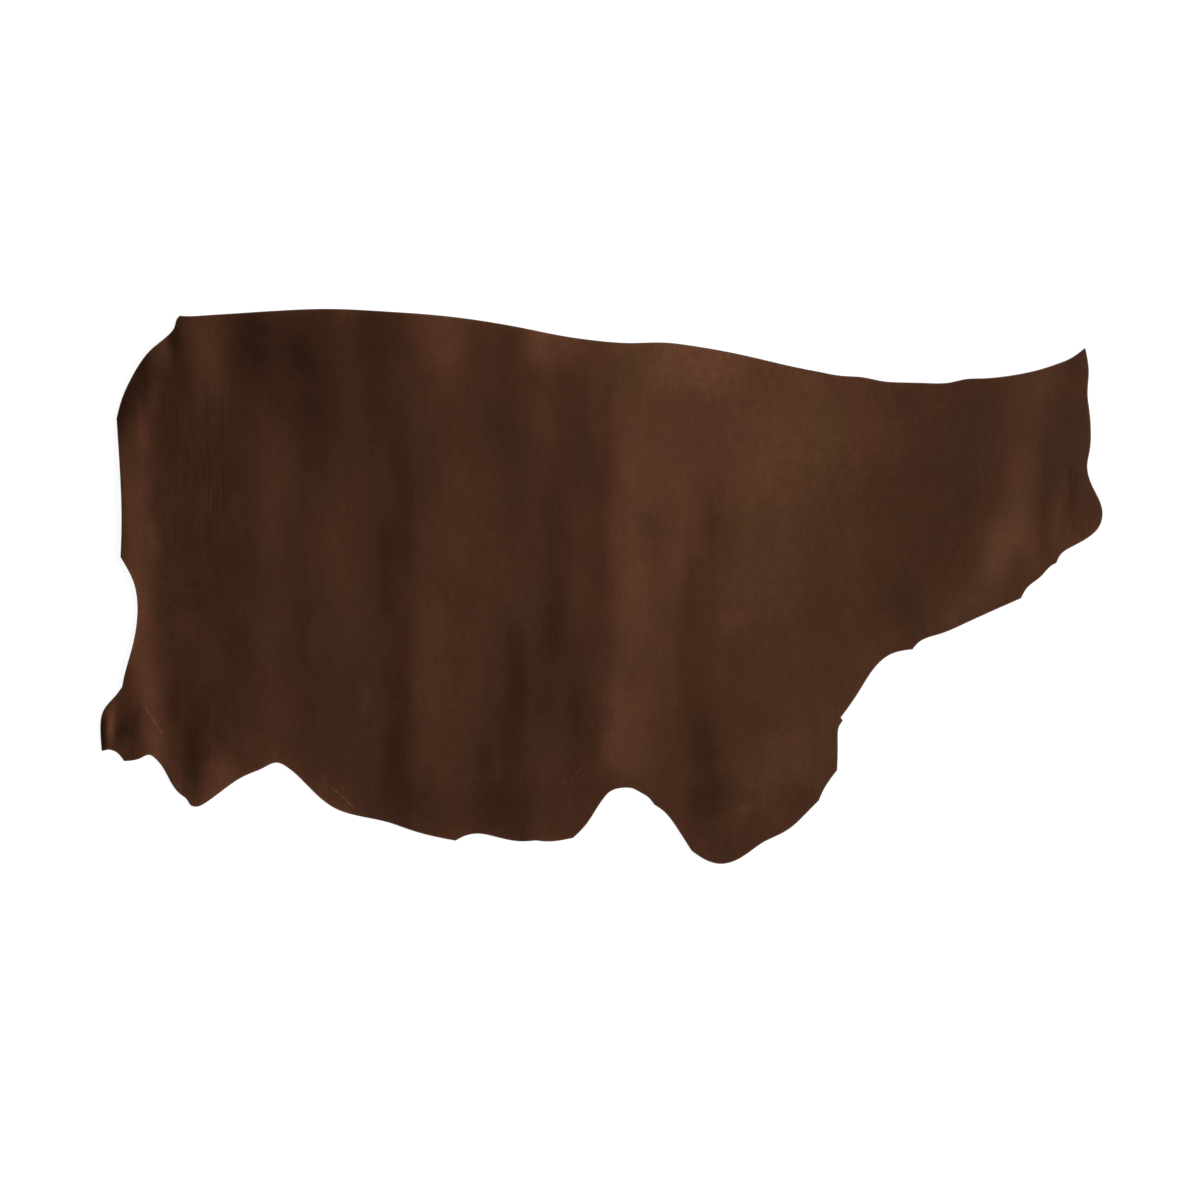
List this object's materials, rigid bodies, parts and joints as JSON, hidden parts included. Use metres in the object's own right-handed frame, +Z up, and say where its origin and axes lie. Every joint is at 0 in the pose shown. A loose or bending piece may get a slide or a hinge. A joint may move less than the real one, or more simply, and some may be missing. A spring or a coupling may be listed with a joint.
{
  "type": "leather hide",
  "caption": "One tanned side of dark brown cowhide with its natural outline, laid grain side up in soft shallow ridges; raw material for leatherwork or a floor, wall or table covering.",
  "frame": {"origin": "the middle of the hide's footprint, on the surface that it lies on", "axes": "+Z up out of the grain side, +X from the rump to the neck, +Y from the belly to the backbone cut"},
  "size_m": [2.2437, 1.2423, 0.0133],
  "materials": {
    "hide_leather": "drum-dyed dark brown grain side with a soft low sheen; paler napped flesh side and a plain cut edge"
  },
  "bodies": {
    "root": {"hide": "hide_leather"}
  },
  "joints": []
}
